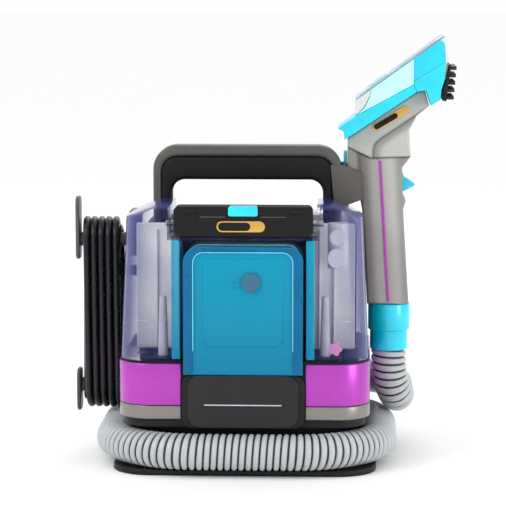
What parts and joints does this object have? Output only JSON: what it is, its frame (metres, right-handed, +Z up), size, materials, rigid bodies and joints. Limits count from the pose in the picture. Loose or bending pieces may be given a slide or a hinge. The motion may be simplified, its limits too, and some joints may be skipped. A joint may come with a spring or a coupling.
{
  "type": "portable carpet cleaner",
  "caption": "Portable spot carpet cleaner with tinted water tanks, suction hose wrapped round the base, docked spray wand with brush tool, and wound power cord.",
  "frame": {"origin": "centre of the base's flat underside", "axes": "+Z up, -Y towards the front with the nameplate, +X towards the docked wand"},
  "size_m": [0.3772, 0.2669, 0.4193],
  "materials": {
    "black_plastic": "textured black ABS",
    "rubber": "soft black rubber",
    "metallic_trim": "satin silver-grey paint",
    "purple_satin": "satin purple metallic paint",
    "panel_gloss": "dark gloss panel",
    "handle_grey": "warm grey moulded plastic",
    "grip_black": "soft-touch grip",
    "tank_tint": "blue-violet tinted clear plastic",
    "cyan_clear": "cyan tinted clear plastic",
    "clear": "clear plastic",
    "cyan_plastic": "bright cyan plastic",
    "pink_plastic": "pink plastic",
    "pale_plastic": "pale grey plastic",
    "wand_grey": "warm grey plastic",
    "gold": "gold-coloured plate",
    "cord_black": "glossy black cable jacket",
    "hose_grey": "pale corrugated hose",
    "steel": "zinc-plated steel",
    "laminations": "laminated core",
    "board": "green circuit board",
    "olive_grey": "dark olive-grey plastic",
    "bristle": "black nylon bristle"
  },
  "bodies": {
    "chassis": {"base_tray": "black_plastic", "rubber_feet": "rubber", "lower_shell": "black_plastic", "upper_shell": "black_plastic", "deck_plate": "black_plastic", "trim_bands": "metallic_trim", "accent_bands": "purple_satin", "front_bezel": "black_plastic", "nameplate": "panel_gloss", "rear_housing": "black_plastic", "rear_cover": "black_plastic", "cover_screws": "steel", "motor_can": "steel", "motor_stator": "laminations", "water_pump": "pale_plastic", "circuit_board": "board", "handle_frame": "handle_grey", "handle_grip": "grip_black", "wand_cradle": "handle_grey", "hook_bracket": "handle_grey", "lower_cord_hook": "olive_grey", "cord_gland": "cord_black", "cord_hank": "cord_black", "power_cord": "cord_black", "plug_lead": "cord_black", "power_plug": "cord_black", "hose_port": "black_plastic", "hose_loop": "hose_grey", "hose_riser": "hose_grey"},
    "motor_rotor": {"motor_armature": "laminations", "fan_impeller": "pale_plastic"},
    "power_switch": {"power_button": "cyan_plastic"},
    "recovery_tank": {"tank_shell": "tank_tint", "tank_lid": "black_plastic", "guide_strips": "cyan_clear", "standpipes": "pale_plastic", "float_cage": "pale_plastic", "handle_pins": "steel"},
    "float": {"float_ball": "pale_plastic"},
    "drain": {"drain_knob": "pink_plastic"},
    "tank_bail": {"tank_handle": "black_plastic", "tank_badge": "gold"},
    "tank_button": {"release_button": "cyan_plastic"},
    "solution_cell": {"solution_tank": "cyan_clear"},
    "cell_cap": {"fill_cap": "panel_gloss"},
    "cord_release": {"upper_cord_hook": "handle_grey"},
    "wand": {"grip_front": "wand_grey", "grip_rear": "wand_grey", "wand_stripe": "purple_satin", "suction_tube": "pale_plastic", "wand_head": "wand_grey", "wand_badge": "gold"},
    "collar": {"hose_collar": "cyan_plastic"},
    "spray_trigger": {"trigger": "cyan_plastic"},
    "latch_button": {"tool_latch": "cyan_plastic"},
    "tool": {"tool_body": "cyan_plastic", "tool_window": "clear", "brush_carrier": "black_plastic", "bristle_tufts": "bristle", "spray_nozzle": "cyan_plastic"}
  },
  "joints": [
    {"name": "motor_spin", "type": "hinge", "parent": "chassis", "child": "motor_rotor", "pos_m": [0, 0.048, 0.14], "axis": [0, 0, 1], "continuous": true},
    {"name": "power_press", "type": "slide", "parent": "chassis", "child": "power_switch", "axis": [0, 0, -1], "range_m": [0, 0.003], "stiffness_N_per_m": 300},
    {"name": "recovery_tank_lift", "type": "slide", "parent": "chassis", "child": "recovery_tank", "axis": [0, 0, 1], "range_m": [0, 0.06]},
    {"name": "float_rise", "type": "slide", "parent": "recovery_tank", "child": "float", "axis": [0, 0, 1], "range_m": [0, 0.02]},
    {"name": "drain_turn", "type": "hinge", "parent": "recovery_tank", "child": "drain", "pos_m": [0.088, -0.108, 0.124], "axis": [0, -1, 0], "range_deg": [0, 90]},
    {"name": "tank_bail_swing", "type": "hinge", "parent": "recovery_tank", "child": "tank_bail", "pos_m": [0, -0.074, 0.24], "axis": [-1, 0, 0], "range_deg": [0, 65]},
    {"name": "tank_button_press", "type": "slide", "parent": "tank_bail", "child": "tank_button", "axis": [0, 1, 0], "range_m": [0, 0.003], "stiffness_N_per_m": 300},
    {"name": "solution_tank_draw", "type": "slide", "parent": "chassis", "child": "solution_cell", "axis": [0, -1, 0], "range_m": [0, 0.06]},
    {"name": "fill_cap_turn", "type": "hinge", "parent": "solution_cell", "child": "cell_cap", "pos_m": [0.008, -0.113, 0.188], "axis": [0, -1, 0], "range_deg": [0, 90]},
    {"name": "cord_hook_turn", "type": "hinge", "parent": "chassis", "child": "cord_release", "pos_m": [-0.12, 0.014, 0.214], "axis": [-1, 0, 0], "range_deg": [0, 180]},
    {"name": "wand_undock", "type": "slide", "parent": "chassis", "child": "wand", "axis": [0, 0, 1], "range_m": [0, 0.045], "deforming": ["hose_riser"]},
    {"name": "collar_swivel", "type": "hinge", "parent": "wand", "child": "collar", "pos_m": [0.1405, 0.004, 0.13], "axis": [0, 0, 1], "range_deg": [-170, 170]},
    {"name": "trigger_pull", "type": "hinge", "parent": "wand", "child": "spray_trigger", "pos_m": [0.15, 0.004, 0.283], "axis": [0, 1, 0], "range_deg": [0, 8], "stiffness_Nm_per_rad": 0.4},
    {"name": "tool_latch_press", "type": "slide", "parent": "wand", "child": "latch_button", "axis": [1, 0, 0], "range_m": [0, 0.002], "stiffness_N_per_m": 300},
    {"name": "tool_pull_off", "type": "slide", "parent": "wand", "child": "tool", "axis": [0.83, 0, 0.5578], "range_m": [0, 0.05]}
  ]
}
